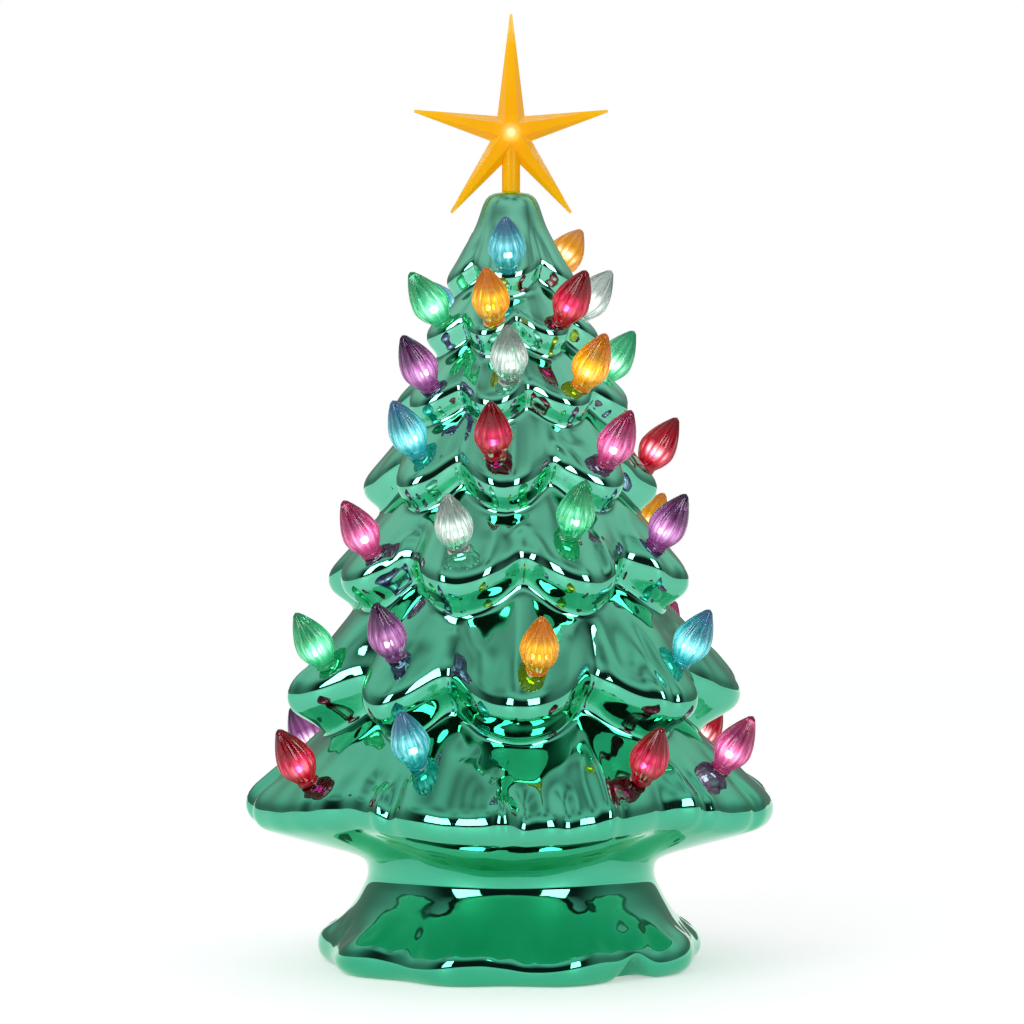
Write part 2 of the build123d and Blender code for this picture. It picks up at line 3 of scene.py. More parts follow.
import bpy
import numpy as np
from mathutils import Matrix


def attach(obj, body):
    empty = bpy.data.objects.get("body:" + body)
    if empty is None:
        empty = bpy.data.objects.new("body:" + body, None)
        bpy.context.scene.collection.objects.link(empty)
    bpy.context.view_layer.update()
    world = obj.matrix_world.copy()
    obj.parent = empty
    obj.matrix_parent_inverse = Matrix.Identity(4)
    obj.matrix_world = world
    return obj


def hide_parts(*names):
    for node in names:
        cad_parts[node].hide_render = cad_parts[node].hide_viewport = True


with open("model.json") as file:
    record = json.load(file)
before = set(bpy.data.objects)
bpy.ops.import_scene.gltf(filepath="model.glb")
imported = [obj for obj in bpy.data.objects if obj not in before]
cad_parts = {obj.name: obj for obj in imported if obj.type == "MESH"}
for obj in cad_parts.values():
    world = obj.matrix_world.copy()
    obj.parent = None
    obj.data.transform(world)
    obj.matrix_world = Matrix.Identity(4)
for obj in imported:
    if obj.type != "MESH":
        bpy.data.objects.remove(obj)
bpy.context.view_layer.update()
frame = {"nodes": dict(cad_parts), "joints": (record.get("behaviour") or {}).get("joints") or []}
nodes = frame["nodes"]
MM = 0.001


# Bulb seats: each push-in bulb stands in a counterbored hole drilled square to its own axis.
# The joint gives the axis and the tip of the bulb's solid gives the place, so every seat is the CAD's own.
BULB_LENGTH = 0.0255
bulb_seats = {}
for joint in frame["joints"]:
    if joint["name"].endswith("_pull"):
        bulb_axis = np.array(joint["axis"])
        solid = np.empty(len(nodes[joint["child"]].data.vertices) * 3, np.float32)
        nodes[joint["child"]].data.vertices.foreach_get("co", solid)
        solid = solid.reshape(-1, 3).astype(float)
        tip = solid[np.argmax(solid @ bulb_axis)]
        bulb_seats[joint["child"]] = (tip - BULB_LENGTH * bulb_axis, bulb_axis)


# Casting: one hollow slip-cast ceramic tree, seven tiers of drooping lobes over a ruffled foot.
# It is fired, then plated with a mirror green film; the hollow and the recess under it stay bare.
# Its sizes are in millimetres, with the tiers from the top down.
STAR_HOLE = 3.3
CROWN_TOP = 309.0
CROWN_FLAT, CROWN_EDGE, CROWN_NECK = (7.5, CROWN_TOP), (10.4, 307.2), (14.2, 295.0)
TIER_REACH = (26.5, 36.0, 48.0, 59.5, 75.5, 92.5, 106.0)
TIER_HEIGHT = (273.0, 250.0, 222.0, 190.0, 153.0, 107.0, 63.0)
NOSE_RADIUS = (5.0, 5.5, 6.0, 7.0, 7.5, 8.0, 8.5)
NOSE_TOP, NOSE_LOW = 45, -65
FOLD_RADIUS = (21.5, 30.0, 41.0, 51.5, 64.0, 75.0, 59.0)
FOLD_HEIGHT = (266.0, 242.0, 215.0, 181.0, 142.0, 93.0, 43.5)
NOTCH_LIFT = (7.0, 7.0, 8.0, 12.0, 12.0, 13.0, 5.0)
NOTCH_FLARE = (0.6, 0.75, 0.8, 0.8, 0.8, 0.9, 0.0)
NOTCH_LIP = (3.0, 3.5, 4.0, 4.5, 5.0, 5.5, 36.0)
NOTCHES = (
    (-45, 35, 110, 180, 245),
    (-40, 5, 55, 105, 155, 205, 265),
    (-75, -30, 10, 55, 100, 145, 190, 240),
    (-65, -25, 20, 65, 110, 155, 200, 245),
    (-80, -40, 5, 45, 90, 130, 170, 210, 245),
    (-95, -50, -20, 25, 70, 115, 155, 195, 230),
    (-40, 40, 105, 180, 255),
)
NECK_HEIGHT = 35.5
RUFFLES, RUFFLE_TURN = 9, 21
RECESS_RADIUS, RECESS_HEIGHT = 60.0, 9.0
FLOOR_HOLE, FLOOR_TOP = 41.0, 14.0
HOLLOW_FOOT, HOLLOW_NECK = 57.0, 52.0
WALL, NOSE_WALL = 5.0, 7.5
CEILING_RADIUS, CEILING_HEIGHT = 9.0, 290.0
ARCH_TURNS = (41.0, -150.0)
ARCH_RISE, ARCH_SPREAD, ARCH_TOP = 8.0, 5.0, 17.0

# Waves, dents and drips of the glaze, and the ripples where the bell turns out into the hem
WAVES = (5, 9, 16, 23, 34, 47)
WAVE_DEPTH = (0.15, 0.2, 0.3, 0.5, 0.8, 1.1, 1.3)
DENTS = (2, 4, 8, 16, 30, 46, 60)
DENT_WIDTH, DENT_DEPTH, DENT_LENGTH = 7.0, 1.2, 0.16
DRIPS = (0, 0, 3, 8, 20, 36, 60)
DRIP_WIDTH, DRIP_DEPTH, DRIP_EASE = 3.6, 2.7, 0.3
RIPPLES, RIPPLE_DEPTH, RIPPLE_ROW, RIPPLE_SPREAD = 38, 0.3, 16.5, 2.2
SEAT_CLEAR = 0.008

# Fineness of the surface: columns round the tree, rows down it, and passes of smoothing
COLUMNS = 408
CROWN_ROWS = (2, 2, 5)
SLOPE_ROWS = (8, 8, 9, 11, 14, 18, 20)
NOSE_ROWS = (6, 6, 6, 7, 8, 8, 9)
UNDER_ROWS = (1, 2, 2, 2, 3, 4, 7)
HEM_ROWS = (4, 6, 5, 4, 3, 3, 3)
FOOT_ROWS = 2
DOWN_PASSES, ROUND_PASSES = 3, 22

azimuth = np.arange(COLUMNS) * 360.0 / COLUMNS
fold_random = np.random.default_rng(11)


def swell(tier):
    """A tier's lobes round the tree: 0 at its notches, 1 half way between two, along a half sine."""
    notches = np.sort(np.mod(NOTCHES[tier], 360.0))
    notches = np.r_[notches[-1] - 360, notches, notches[0] + 360]
    after = np.searchsorted(notches, azimuth, side="right")
    start, end = notches[after - 1], notches[after]
    return np.sin(np.pi * (azimuth - start) / (end - start))


def fold(tier):
    """Radius and height of the fold under a tier: it climbs and draws in towards each notch."""
    climb = NOTCH_LIFT[tier] * (1 - swell(tier))
    return FOLD_RADIUS[tier] - NOTCH_FLARE[tier] * climb, FOLD_HEIGHT[tier] + climb


def nose(tier, angle):
    """Radius and height on a tier's rounded nose where its normal has this slope, an arc about the lip."""
    fold_radius, fold_height = fold(tier)
    reach = TIER_REACH[tier] - FOLD_RADIUS[tier]
    lip = NOTCH_LIP[tier] + (reach - NOTCH_LIP[tier]) * swell(tier)
    turn = np.radians(angle)
    radius = fold_radius + lip - NOSE_RADIUS[tier] * (1 - np.cos(turn))
    return radius, fold_height + TIER_HEIGHT[tier] - FOLD_HEIGHT[tier] + NOSE_RADIUS[tier] * np.sin(turn)


def level(radius, height):
    """A round ring."""
    return np.full(COLUMNS, radius), np.full(COLUMNS, height)


def ruffle(radius, height, depth, rise):
    """A ring of the hem: radius and height wave round the foot in cosines that are unevenly spaced."""
    turn = np.radians(RUFFLES * (azimuth - RUFFLE_TURN)) + 0.5 * np.sin(np.radians(2 * azimuth + 40))
    return radius + depth * np.cos(turn), height + rise * np.sin(turn + 0.6)


def run(start, end, rows):
    """Rows on a straight run from one ring to the next, without the last."""
    share = np.linspace(0, 1, rows, endpoint=False)[:, None]
    radius, height = (a + share * (b - a) for a, b in zip(start, end))
    return np.stack([radius, height], axis=-1)


def chain(stops, rows):
    """Straight runs through a list of rings, with a number of rows for each."""
    return [run(*between) for between in zip(stops, stops[1:], rows)]


def ease(low, high, value):
    """0 below low, 1 above high, and a smooth step between."""
    share = np.clip((value - low) / (high - low), 0, 1)
    return share * share * (3 - 2 * share)


def aside_of(turn, middle):
    """Degrees from a middle to a turn, from -180 to 180."""
    return np.mod(turn - middle + 180, 360) - 180


def soften_down(grid):
    """Rows smoothed with their neighbours by 1/4, 1/2, 1/4, but for the first and the last."""
    return np.concatenate([grid[:1], 0.25 * grid[:-2] + 0.5 * grid[1:-1] + 0.25 * grid[2:], grid[-1:]])


def soften_round(grid):
    """Columns smoothed with their neighbours by 1/4, 1/2, 1/4, all the way round."""
    return 0.25 * np.roll(grid, 1, axis=1) + 0.5 * grid + 0.25 * np.roll(grid, -1, axis=1)


def stand(rings_mm):
    """Points in metres from radius and height in millimetres at each azimuth, front towards -Y."""
    turn = np.radians(azimuth)
    radius, height = rings_mm[..., 0] * MM, rings_mm[..., 1] * MM
    return np.stack([radius * np.sin(turn), -radius * np.cos(turn), height], axis=-1)


def drape(tier, share):
    """Folds of a tier's drape: waves round the tree that lean with the slope, soft dents, and drips of glaze,
    each a ridge or groove that eases in part of the way down. Dents and drips are Gaussians."""
    folds = np.zeros((len(share), COLUMNS))
    for count in WAVES:
        phase, lean, weight = fold_random.uniform((0, -1.5, 0.4), (2 * np.pi, 1.5, 1.0))
        wave = np.sin(count * np.radians(azimuth) + phase + lean * share[:, None])
        folds += min(0.6, 9.0 / count) * WAVE_DEPTH[tier] * weight * wave * share[:, None] ** 0.8
    dents = (DENTS[tier], DENT_WIDTH, DENT_DEPTH, DENT_LENGTH)
    drips = (DRIPS[tier], DRIP_WIDTH, DRIP_DEPTH, None)
    for number, wide, deep, long in (dents, drips):
        low, high = (0, 0.65, 0.2, -1.0), (360, 1.35, 0.85, 1.0)
        places, widths, starts, depths = fold_random.uniform(low, high, (number, 4)).T
        away = np.radians(aside_of(azimuth[None, :], places[:, None])) * TIER_REACH[tier]
        ridges = np.exp(-((away / (wide * widths[:, None])) ** 2))
        if long:
            lengths = np.exp(-(((share[None, :] - starts[:, None]) / (long * widths[:, None])) ** 2))
        else:
            lengths = ease(starts[:, None], starts[:, None] + DRIP_EASE, share[None, :])
        folds += deep * np.einsum("n,nr,nc->rc", depths, lengths, ridges)
    return folds


crown = [level(STAR_HOLE, CROWN_TOP), level(*CROWN_FLAT), level(*CROWN_EDGE), level(*CROWN_NECK)]
profile = chain(crown, CROWN_ROWS)
relief = [np.zeros((sum(CROWN_ROWS), COLUMNS))]
above = crown[-1]
for tier in range(len(TIER_REACH)):
    angles = np.linspace(NOSE_TOP, NOSE_LOW, NOSE_ROWS[tier], endpoint=False)
    profile.append(run(above, nose(tier, NOSE_TOP), SLOPE_ROWS[tier]))
    profile.append(np.stack([np.stack(nose(tier, angle), axis=-1) for angle in angles]))
    profile.append(run(nose(tier, NOSE_LOW), fold(tier), UNDER_ROWS[tier]))
    share = np.r_[np.linspace(0, 1, SLOPE_ROWS[tier]), np.ones(NOSE_ROWS[tier] + UNDER_ROWS[tier])]
    nose_fade = np.cos(np.radians(NOSE_TOP - angles) * 0.8)
    fade = np.r_[np.ones(SLOPE_ROWS[tier]), nose_fade, np.zeros(UNDER_ROWS[tier])]
    relief.append(drape(tier, share) * fade[:, None])
    above = fold(tier)
hem = [
    level(57.0, NECK_HEIGHT), level(62.5, 24.5), ruffle(68.5, 16.5, 0.8, 0.8), ruffle(75.0, 11.0, 2.0, 2.2),
    ruffle(76.5, 7.0, 2.8, 1.6), ruffle(75.5, 2.0, 2.8, 0.0), ruffle(72.0, 0.0, 2.4, 0.0),
]
profile += chain([above] + hem, HEM_ROWS)
hem_row = np.arange(sum(HEM_ROWS))[:, None]
ripple = np.cos(np.radians(RIPPLES * azimuth) + 1.5 * np.sin(np.radians(3 * azimuth)))
relief.append(RIPPLE_DEPTH * np.exp(-(((hem_row - RIPPLE_ROW) / RIPPLE_SPREAD) ** 2)) * ripple[None, :])

outside = np.concatenate(profile)
for _ in range(DOWN_PASSES):
    outside = soften_down(outside)
for _ in range(ROUND_PASSES):
    outside = soften_round(outside)
# The relief fades out round each seat, where the collar sits flush
relief = soften_round(soften_down(np.concatenate(relief)))
for seat, _ in bulb_seats.values():
    relief = relief * (1 - np.exp(-np.sum((stand(outside) - seat) ** 2, axis=-1) / SEAT_CLEAR**2))
downward = np.gradient(outside, axis=0)
outward = np.stack([-downward[..., 1], downward[..., 0]], axis=-1)
outside = outside + relief[..., None] * outward / np.linalg.norm(outward, axis=-1, keepdims=True)

hollow = [hem[-1], level(RECESS_RADIUS, 0.0), level(RECESS_RADIUS, RECESS_HEIGHT)]
hollow += [level(FLOOR_HOLE, RECESS_HEIGHT), level(FLOOR_HOLE, FLOOR_TOP)]
hollow += [level(HOLLOW_FOOT, FLOOR_TOP), level(HOLLOW_NECK, NECK_HEIGHT)]
for tier in reversed(range(len(TIER_REACH))):
    (fold_radius, fold_height), (nose_radius, nose_height) = fold(tier), nose(tier, 0)
    hollow += [(fold_radius - WALL, fold_height), (nose_radius - NOSE_WALL, nose_height)]
hollow += [level(CEILING_RADIUS, CEILING_HEIGHT), level(STAR_HOLE, CEILING_HEIGHT), level(STAR_HOLE, CROWN_TOP)]
inside = np.concatenate(chain(hollow, [FOOT_ROWS] + [1] * (len(hollow) - 2)))

# The hem lifts off the table in a small arch at two places
rings = np.concatenate([outside, inside])
for arch_turn in ARCH_TURNS:
    arch = ARCH_RISE * np.exp(-((aside_of(azimuth, arch_turn) / ARCH_SPREAD) ** 2))
    rise = arch * np.clip(1 - rings[..., 1] / ARCH_TOP, 0, 1) ** 1.2
    rings[..., 1] += np.where(rings[..., 0] > RECESS_RADIUS + 0.5, rise, 0)


def tube_faces(rows, around, closed):
    """Four-cornered faces of a grid that closes round its columns, and round its rows too if it is a ring."""
    row = np.arange(rows if closed else rows - 1)[:, None]
    column = np.arange(around)[None, :]
    beyond, beside = (row + 1) % rows, (column + 1) % around
    corners = [row * around + column, row * around + beside, beyond * around + beside, beyond * around + column]
    return np.stack(corners, axis=-1).reshape(-1, 4)


def skin(name, points, faces):
    """A mesh object from an array of points and an array or list of faces, smooth shaded."""
    mesh = bpy.data.meshes.new(name)
    mesh.from_pydata(np.asarray(points).reshape(-1, 3).tolist(), [], [list(map(int, face)) for face in faces])
    mesh.shade_smooth()
    piece = bpy.data.objects.new(name, mesh)
    bpy.context.scene.collection.objects.link(piece)
    return piece


def rim(axis, around):
    """Directions square to an axis and evenly spaced round it, the first of them level."""
    side = np.cross((0.0, 0.0, 1.0), axis)
    side /= np.linalg.norm(side)
    turn = np.arange(around) * 2 * np.pi / around
    return np.cos(turn)[:, None] * side + np.sin(turn)[:, None] * np.cross(axis, side)


casting = skin("mirror_casting", stand(rings), tube_faces(len(rings), COLUMNS, True)[:, ::-1])

# The drill for a bulb's hole: radius and height along the bulb, a counterbore and then the hole for the peg
HOLE_SIDES = 32
DRILL = np.array([(0.0045, 0.008), (0.0045, 0.0), (0.0028, 0.0), (0.0028, -0.02)])
drill_faces = tube_faces(len(DRILL), HOLE_SIDES, False)[:, ::-1]
drill_end = np.arange(HOLE_SIDES)
drill_points, drill_skin = [], []
for number, (seat, bulb_axis) in enumerate(bulb_seats.values()):
    drilled = seat + DRILL[:, None, :1] * rim(bulb_axis, HOLE_SIDES) + DRILL[:, None, 1:] * bulb_axis
    drill_points.append(drilled.reshape(-1, 3))
    first = number * len(DRILL) * HOLE_SIDES
    last = first + (len(DRILL) - 1) * HOLE_SIDES
    drill_skin += (first + drill_faces).tolist()
    drill_skin += [(first + drill_end).tolist(), (last + drill_end[::-1]).tolist()]
drills = skin("bulb_drills", np.concatenate(drill_points), drill_skin)


def base(name):
    """A new material with its node tree and shader."""
    material = bpy.data.materials.new(name)
    material.use_nodes = True
    return material, material.node_tree, material.node_tree.nodes["Principled BSDF"]


def speckle(tree, scale, detail=3.0):
    """A noise texture on the object's own coordinates."""
    place = tree.nodes.new("ShaderNodeTexCoord")
    noise = tree.nodes.new("ShaderNodeTexNoise")
    noise.inputs["Scale"].default_value = scale
    noise.inputs["Detail"].default_value = detail
    tree.links.new(place.outputs["Object"], noise.inputs["Vector"])
    return noise


def ramp(tree, source, *stops):
    """A colour ramp over a value, from (place, colour) stops."""
    band = tree.nodes.new("ShaderNodeValToRGB")
    elements = band.color_ramp.elements
    while len(elements) < len(stops):
        elements.new(1.0)
    for element, (place, colour) in zip(elements, stops):
        element.position = place
        element.color = (*colour, 1.0)
    tree.links.new(source, band.inputs["Fac"])
    return band


def blend(tree, factor, first, colour):
    """A mix from a first colour, which a node gives, to a plain colour."""
    mix = tree.nodes.new("ShaderNodeMix")
    mix.data_type = "RGBA"
    mix.inputs["B"].default_value = (*colour, 1.0)
    tree.links.new(factor, mix.inputs["Factor"])
    tree.links.new(first, mix.inputs["A"])
    return mix


mirror_green, tree, shader = base("mirror_green_plating")
shader.inputs["Metallic"].default_value = 1.0
shader.inputs["Specular Tint"].default_value = (0.5, 1.0, 0.75, 1.0)
shader.inputs["Coat Weight"].default_value = 0.85
shader.inputs["Coat IOR"].default_value = 1.65
shader.inputs["Coat Roughness"].default_value = 0.05
cloud = speckle(tree, 22.0)
deep = ramp(tree, cloud.outputs["Fac"], (0.3, (0.008, 0.44, 0.235)), (0.7, (0.025, 0.47, 0.27)))
# The green is painted paler towards the crown, a painted reflection standing in for the pale overhead that the
# upper tiers mirror
place, height = tree.nodes.new("ShaderNodeTexCoord"), tree.nodes.new("ShaderNodeSeparateXYZ")
tree.links.new(place.outputs["Object"], height.inputs["Vector"])
painted_crown_sheen = tree.nodes.new("ShaderNodeMapRange")
painted_crown_sheen.inputs["From Min"].default_value = 0.03
painted_crown_sheen.inputs["From Max"].default_value = 0.3
tree.links.new(height.outputs["Z"], painted_crown_sheen.inputs["Value"])
green = blend(tree, painted_crown_sheen.outputs["Result"], deep.outputs["Color"], (0.14, 0.58, 0.39))
tree.links.new(green.outputs["Result"], shader.inputs["Base Color"])
smear = speckle(tree, 60.0)
haze = ramp(tree, smear.outputs["Fac"], (0.35, (0.03, 0.03, 0.03)), (0.8, (0.075, 0.075, 0.075)))
tree.links.new(haze.outputs["Color"], shader.inputs["Roughness"])
peel = speckle(tree, 140.0, 1.0)
bump = tree.nodes.new("ShaderNodeBump")
bump.inputs["Strength"].default_value = 0.06
bump.inputs["Distance"].default_value = 0.0004
tree.links.new(peel.outputs["Fac"], bump.inputs["Height"])
tree.links.new(bump.outputs["Normal"], shader.inputs["Normal"])

bisque, tree, shader = base("bare_bisque")
shader.inputs["Roughness"].default_value = 0.85
grit = speckle(tree, 900.0)
clay = ramp(tree, grit.outputs["Fac"], (0.3, (0.72, 0.68, 0.62)), (0.75, (0.82, 0.79, 0.74)))
tree.links.new(clay.outputs["Color"], shader.inputs["Base Color"])

# The film ends at the inner edge of the foot
for piece in (casting, drills):
    piece.data.materials.append(mirror_green)
    piece.data.materials.append(bisque)
bare = np.zeros(len(casting.data.polygons), np.int32)
bare[(len(outside) + FOOT_ROWS) * COLUMNS:] = 1
casting.data.polygons.foreach_set("material_index", bare)
drills.data.polygons.foreach_set("material_index", np.ones(len(drills.data.polygons), np.int32))
cut = casting.modifiers.new("bulb holes", "BOOLEAN")
cut.operation = "DIFFERENCE"
cut.solver = "EXACT"
cut.object = drills
pierced = bpy.data.meshes.new_from_object(casting.evaluated_get(bpy.context.evaluated_depsgraph_get()))
casting.modifiers.remove(cut)
casting.data = pierced
bpy.data.objects.remove(drills)
pierced.shade_smooth()
pierced.set_sharp_from_angle(angle=np.radians(55))
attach(casting, "tree")
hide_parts("ceramic_tree")


# Bulbs: flame-shaped lenses moulded in clear tinted plastic, fluted lengthwise, on a collar and a peg.
# Light from inside the tree comes up the peg and shows as a white spot low in each lens.
PEG_TIP, LENS_FOOT, LENS_TIP = -10.0, 2.2, 25.5
FLUTES = 13
LENS_SIDES = FLUTES * 6
CORE_SIDES, CORE_ROWS = 16, 7
CORE_HEIGHT, CORE_RADIUS = 8.2, 0.9


def smooth_curve(along, radius, rows):
    """Radius at these rows on cubic Hermite curves through the points, with slopes by central differences."""
    slope = np.gradient(radius, along)
    span = np.clip(np.searchsorted(along, rows, side="right") - 1, 0, len(along) - 2)
    width = along[span + 1] - along[span]
    step = (rows - along[span]) / width
    return (
        (2 * step**3 - 3 * step**2 + 1) * radius[span] + (step**3 - 2 * step**2 + step) * width * slope[span]
        + (3 * step**2 - 2 * step**3) * radius[span + 1] + (step**3 - step**2) * width * slope[span + 1]
    )


def capped(rows, around, first):
    """Faces of a tube with a fan at each end, to the two points that follow its grid."""
    ring = np.arange(around)
    beside = (ring + 1) % around
    low, high = first + rows * around, first + rows * around + 1
    last = first + (rows - 1) * around
    fan_low = np.stack([np.full(around, low), first + beside, first + ring], axis=-1)
    fan_high = np.stack([np.full(around, high), last + ring, last + beside], axis=-1)
    return (tube_faces(rows, around, False) + first).tolist() + fan_low.tolist() + fan_high.tolist()


def lathe(radius, along, ends, origin, axis):
    """Points in metres of a shape about an axis, from its radius at each height and angle and its two ends."""
    points = origin + MM * (radius[..., None] * rim(axis, radius.shape[1]) + along[:, None, None] * axis)
    tips = origin + MM * np.asarray(ends)[:, None] * axis
    return np.concatenate([points.reshape(-1, 3), tips])


def round_about(radius, around):
    """The same radius at every angle."""
    return np.repeat(radius[:, None], around, axis=1)


lens_along = np.array([LENS_FOOT, 5.85, 9.5, 13.5, 17.5, 20.8, 23.3, 24.8, LENS_TIP])
lens_radius = np.array([4.0, 6.3, 7.5, 7.0, 5.55, 3.85, 2.3, 1.15, 0.0])
lens_rows = np.r_[np.linspace(LENS_FOOT, 23.3, 26), np.linspace(23.7, 25.4, 7)]
lens_curve = smooth_curve(lens_along, lens_radius, lens_rows)
flute_angle = np.arange(LENS_SIDES) * 2 * np.pi / LENS_SIDES
flute_crest = np.abs(np.cos(FLUTES * flute_angle / 2))[None, :]
flute_depth = np.interp(lens_rows, (LENS_FOOT, 5.0, 9.5, 19.0, 24.5), (0.0, 0.35, 0.6, 0.38, 0.0))[:, None]
fluted = lens_curve[:, None] - flute_depth * (1 - flute_crest)
stub_along = np.array([PEG_TIP, -9.7, -5.0, -0.2, 0.3, 0.3, 0.6, 1.9])
stub_radius = np.array([2.2, 2.5, 2.5, 2.5, 2.6, 3.8, 4.0, 4.0])
bulb_along = np.r_[stub_along, lens_rows]
bulb_radius = np.concatenate([round_about(stub_radius, LENS_SIDES), fluted])
core_turn = np.linspace(-np.pi / 2, np.pi / 2, CORE_ROWS + 2)[1:-1]
core_along, core_radius = CORE_HEIGHT + CORE_RADIUS * np.sin(core_turn), CORE_RADIUS * np.cos(core_turn)
core_ends = (CORE_HEIGHT - CORE_RADIUS, CORE_HEIGHT + CORE_RADIUS)

bulb_rows = len(bulb_along)
core_first = bulb_rows * LENS_SIDES + 2
bulb_faces = capped(bulb_rows, LENS_SIDES, 0)
core_faces = capped(CORE_ROWS, CORE_SIDES, core_first)
crests = np.zeros(core_first + CORE_ROWS * CORE_SIDES + 2, np.float32)
fluting = (flute_depth / flute_depth.max()) ** 0.5 * flute_crest
crests[len(stub_along) * LENS_SIDES:bulb_rows * LENS_SIDES] = fluting.ravel()

glow_core, tree, shader = base("bulb_glow")
shader.inputs["Base Color"].default_value = (1.0, 1.0, 1.0, 1.0)
shader.inputs["Emission Color"].default_value = (1.0, 0.96, 0.9, 1.0)
shader.inputs["Emission Strength"].default_value = 8.0

# Body and tip shade of each tint, and a paler flute colour painted along the flute crests as a painted
# highlight
LENS_COLOURS = {
    "red": ((0.42, 0.0, 0.016), (0.16, 0.0, 0.005), (0.62, 0.01, 0.05)),
    "orange": ((0.75, 0.32, 0.0), (0.48, 0.16, 0.0), (0.93, 0.52, 0.015)),
    "green": ((0.04, 0.48, 0.21), (0.015, 0.27, 0.12), (0.26, 0.76, 0.46)),
    "blue": ((0.03, 0.42, 0.47), (0.07, 0.13, 0.28), (0.36, 0.8, 0.82)),
    "purple": ((0.28, 0.05, 0.25), (0.025, 0.01, 0.04), (0.55, 0.24, 0.52)),
    "magenta": ((0.5, 0.04, 0.2), (0.25, 0.01, 0.06), (0.78, 0.25, 0.52)),
    "clear": ((0.42, 0.5, 0.46), (0.36, 0.43, 0.4), (0.78, 0.84, 0.81)),
}
lens_finish = {}
for colour, (low, high, crest_highlight_colour) in LENS_COLOURS.items():
    lens_finish[colour], tree, shader = base(f"lens_{colour}")
    shader.inputs["Transmission Weight"].default_value = 0.85 if colour == "clear" else 0.7
    shader.inputs["Roughness"].default_value = 0.07
    shader.inputs["IOR"].default_value = 1.49
    shader.inputs["Specular IOR Level"].default_value = 0.35
    height, crest = tree.nodes.new("ShaderNodeAttribute"), tree.nodes.new("ShaderNodeAttribute")
    height.attribute_name, crest.attribute_name = "along", "crest"
    tint = ramp(tree, height.outputs["Fac"], (0.38, low), (0.92, high))
    # Painted highlight: the flute crests are painted towards the paler flute colour
    edge = ramp(tree, crest.outputs["Fac"], (0.55, (0, 0, 0)), (1.0, (0.6, 0.6, 0.6)))
    crest_highlight = blend(tree, edge.outputs["Color"], tint.outputs["Color"], crest_highlight_colour)
    tree.links.new(crest_highlight.outputs["Result"], shader.inputs["Base Color"])
    # Light scattered round the spot, strongest where the lens faces the eye
    facing = tree.nodes.new("ShaderNodeLayerWeight")
    near = ramp(tree, facing.outputs["Facing"], (0.0, (1, 1, 1)), (0.1, (0.5, 0.5, 0.5)), (0.4, (0, 0, 0)))
    band = ramp(tree, height.outputs["Fac"], (0.15, (0, 0, 0)), (0.31, (1, 1, 1)), (0.5, (0, 0, 0)))
    halo = tree.nodes.new("ShaderNodeMath")
    halo.operation = "MULTIPLY"
    tree.links.new(near.outputs["Color"], halo.inputs[0])
    tree.links.new(band.outputs["Color"], halo.inputs[1])
    pale_crest_highlight = 0.75 + 0.25 * np.array(crest_highlight_colour)
    warm = blend(tree, halo.outputs["Value"], crest_highlight.outputs["Result"], pale_crest_highlight)
    tree.links.new(warm.outputs["Result"], shader.inputs["Emission Color"])
    power = tree.nodes.new("ShaderNodeMapRange")
    power.inputs["To Min"].default_value = 0.03 if colour == "clear" else 0.11
    power.inputs["To Max"].default_value = 2.2
    tree.links.new(halo.outputs["Value"], power.inputs["Value"])
    tree.links.new(power.outputs["Result"], shader.inputs["Emission Strength"])

for node, (seat, bulb_axis) in bulb_seats.items():
    shell = lathe(bulb_radius, bulb_along, (PEG_TIP, LENS_TIP), seat, bulb_axis)
    core = lathe(round_about(core_radius, CORE_SIDES), core_along, core_ends, seat, bulb_axis)
    lens_points = np.concatenate([shell, core])
    lens = skin(f"{node}_lens", lens_points, bulb_faces + core_faces)
    colour = node.split("_")[-1]
    lens.data.materials.append(lens_finish[colour])
    lens.data.materials.append(glow_core)
    glowing = np.zeros(len(lens.data.polygons), np.int32)
    glowing[len(bulb_faces):] = 1
    lens.data.polygons.foreach_set("material_index", glowing)
    along_bulb = ((lens_points - seat) @ bulb_axis / BULB_LENGTH).astype(np.float32)
    lens.data.attributes.new("along", "FLOAT", "POINT").data.foreach_set("value", along_bulb)
    lens.data.attributes.new("crest", "FLOAT", "POINT").data.foreach_set("value", crests)
    lens.data.set_sharp_from_angle(angle=np.radians(60))
    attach(lens, node)
    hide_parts(node)


# Star: a five-rayed star moulded in translucent amber plastic, ridged along each ray, on a round stem.
# Its peg drops into the crown; a lamp below lights the stem and leaves a white spot at the middle.
STAR_CENTRE = np.array([0.0, 0.0, 0.333])
RAY_TURNS = np.radians((0, 77, 143, 217, 283))
RAY_REACH = np.array((48.0, 40.0, 40.0, 40.0, 40.0))
NOTCH_REACH = 8.8
RIDGE_SHARE = 0.5
STAR_HALF, EDGE_HALF, TIP_HALF, TIP_WIDTH = 4.5, 1.0, 0.5, 0.5
RAY_STEPS = 12
RAY_POINTS = 4 * RAY_STEPS
STEM_SIDES = 40
STEM_FOOT = np.array([0.0, 1e-9, 0.309])
# A hair off plumb, because only a leaning axis has a level direction square to it to start from
STEM_AXIS = np.array([0.0, 1e-6, 1.0])
PEG_END, STEM_TOP = -14.0, 23.8
between_turns = (RAY_TURNS + np.r_[RAY_TURNS[1:], 2 * np.pi]) / 2
out = np.linspace(0, 1, RAY_STEPS)[:, None]


